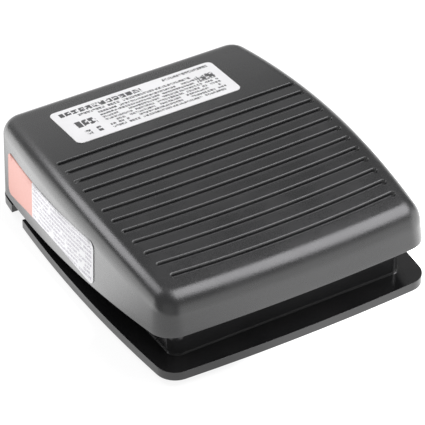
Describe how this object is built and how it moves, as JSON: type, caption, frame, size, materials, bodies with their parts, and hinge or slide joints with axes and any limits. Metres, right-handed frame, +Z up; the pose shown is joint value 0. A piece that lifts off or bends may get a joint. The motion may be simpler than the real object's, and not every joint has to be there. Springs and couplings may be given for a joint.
{
  "type": "foot switch",
  "caption": "Low foot switch: a tilting ribbed cast pedal on a flanged cast base, with return springs and a snap-action switch inside.",
  "frame": {"origin": "on the floor under the middle of the outline, at the bottom of the rubber feet", "axes": "+Z up, the toe edge at -Y, the cord inlet at +Y, +X to the right when seen from the toe edge"},
  "size_m": [0.1018, 0.1138, 0.0354],
  "materials": {
    "base_paint": "gloss",
    "pedal_paint": "satin",
    "rubber": "matte",
    "zinc_steel": "satin",
    "black_plastic": "matte",
    "brass": "satin",
    "red_plastic": "gloss",
    "spring_steel": "satin",
    "dark_steel": "satin",
    "nylon": "matte",
    "label_film": "satin"
  },
  "bodies": {
    "base": {"base_casting": "base_paint", "rubber_feet": "rubber", "foot_screws": "zinc_steel", "cord_bush": "black_plastic", "stop_pads": "rubber", "limit_strap": "zinc_steel", "limit_screws": "zinc_steel", "switch_bracket": "zinc_steel", "bracket_screws": "zinc_steel", "switch_case": "black_plastic", "switch_cover": "black_plastic", "terminal_common": "brass", "terminal_closed": "brass", "terminal_open": "brass", "lever_pin": "spring_steel", "switch_screws": "zinc_steel", "switch_nuts": "zinc_steel", "earth_screw": "brass", "earth_washer": "zinc_steel", "hinge_pin_left": "spring_steel", "hinge_pin_right": "spring_steel", "pin_clips": "dark_steel", "return_spring_left": "spring_steel", "return_spring_right": "spring_steel"},
    "pedal": {"pedal_casting": "pedal_paint", "hinge_bushes": "nylon", "actuator_screw": "zinc_steel", "actuator_nut": "zinc_steel", "rating_plate": "label_film", "side_label": "label_film"},
    "lever": {"switch_lever": "spring_steel"},
    "plunger": {"switch_plunger": "red_plastic"},
    "blade": {"contact_blade": "brass"}
  },
  "joints": [
    {"name": "pedal_hinge", "type": "hinge", "parent": "base", "child": "pedal", "pos_m": [0, 0.0405, 0.008], "axis": [1, 0, 0], "range_deg": [0, 5], "stiffness_Nm_per_rad": 4, "springref_deg": -8.59, "deforming": ["return_spring_left", "return_spring_right"]},
    {"name": "lever_hinge", "type": "hinge", "parent": "base", "child": "lever", "pos_m": [-0.01, 0.023, 0.02391], "axis": [1, 0, 0], "range_deg": [0, 9.4]},
    {"name": "plunger_slide", "type": "slide", "parent": "base", "child": "plunger", "axis": [0, 0, -1], "range_m": [0, 0.00135]},
    {"name": "blade_hinge", "type": "hinge", "parent": "base", "child": "blade", "pos_m": [-0.01, 0.02065, 0.01545], "axis": [1, 0, 0], "range_deg": [0, 13.5]}
  ],
  "couplings": [
    {"joint": "lever_hinge", "follows": "pedal_hinge", "ratio": 1.875},
    {"joint": "plunger_slide", "follows": "pedal_hinge", "m_per_rad": 0.0149},
    {"joint": "blade_hinge", "follows": "pedal_hinge", "ratio": 2.67}
  ]
}
